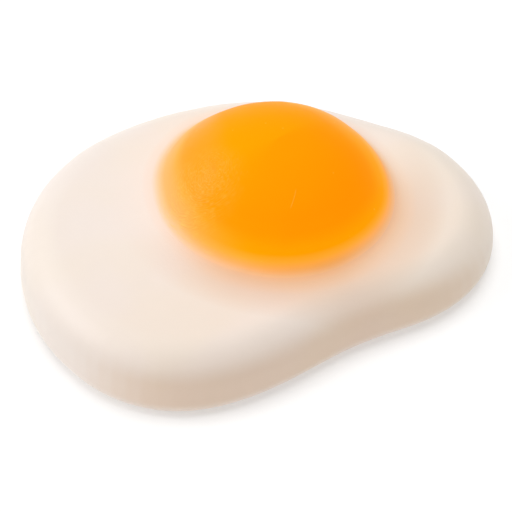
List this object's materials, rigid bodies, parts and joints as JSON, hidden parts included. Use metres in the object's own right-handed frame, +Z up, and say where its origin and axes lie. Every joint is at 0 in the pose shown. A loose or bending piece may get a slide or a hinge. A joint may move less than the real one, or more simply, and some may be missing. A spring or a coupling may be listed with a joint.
{
  "type": "fried egg sweet",
  "caption": "Soft sweet in the shape of a fried egg: a clear orange jelly dome set in a creamy whipped foam slab with rounded edges and a waist.",
  "frame": {"origin": "on the surface the sweet rests on, under the middle of its bounding box", "axes": "+X along the sweet's length towards its small end, +Z up through the yolk; the waist is on the -Y side"},
  "size_m": [0.0432, 0.0342, 0.0125],
  "materials": {
    "foam": "creamy whipped foam sweet, opaque, smooth and satin from a light coat of oil",
    "jelly": "clear orange jelly sweet that glows from inside, oiled surface with fine wrinkles, paler where it thins at its edge"
  },
  "bodies": {
    "root": {"white": "foam", "yolk": "jelly"}
  },
  "joints": []
}
